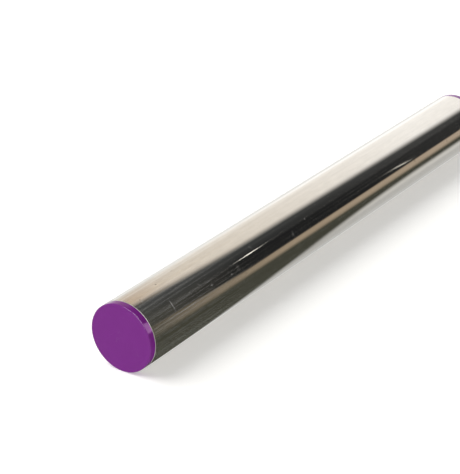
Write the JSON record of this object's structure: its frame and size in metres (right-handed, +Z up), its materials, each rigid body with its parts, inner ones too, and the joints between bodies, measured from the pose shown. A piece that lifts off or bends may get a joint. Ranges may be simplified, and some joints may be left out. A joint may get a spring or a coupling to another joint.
{
  "type": "round steel pipe",
  "caption": "Straight thin-walled round pipe of bright stainless steel, its cut ends closed by purple push-in plastic caps; carries fluid or serves as tube stock.",
  "frame": {"origin": "on the floor plane, under the middle of the pipe", "axes": "+X along the pipe towards the right end cap, +Z up; the pipe lies on its lowest line"},
  "size_m": [0.511, 0.054, 0.054],
  "materials": {
    "bright_steel": "bright drawn stainless steel with fine lengthwise brushing and a few light scratches",
    "cap_plastic": "moulded purple polyethylene, satin face and glossier rim"
  },
  "bodies": {
    "root": {"pipe": "bright_steel", "left_end_cap": "cap_plastic", "right_end_cap": "cap_plastic"}
  },
  "joints": []
}
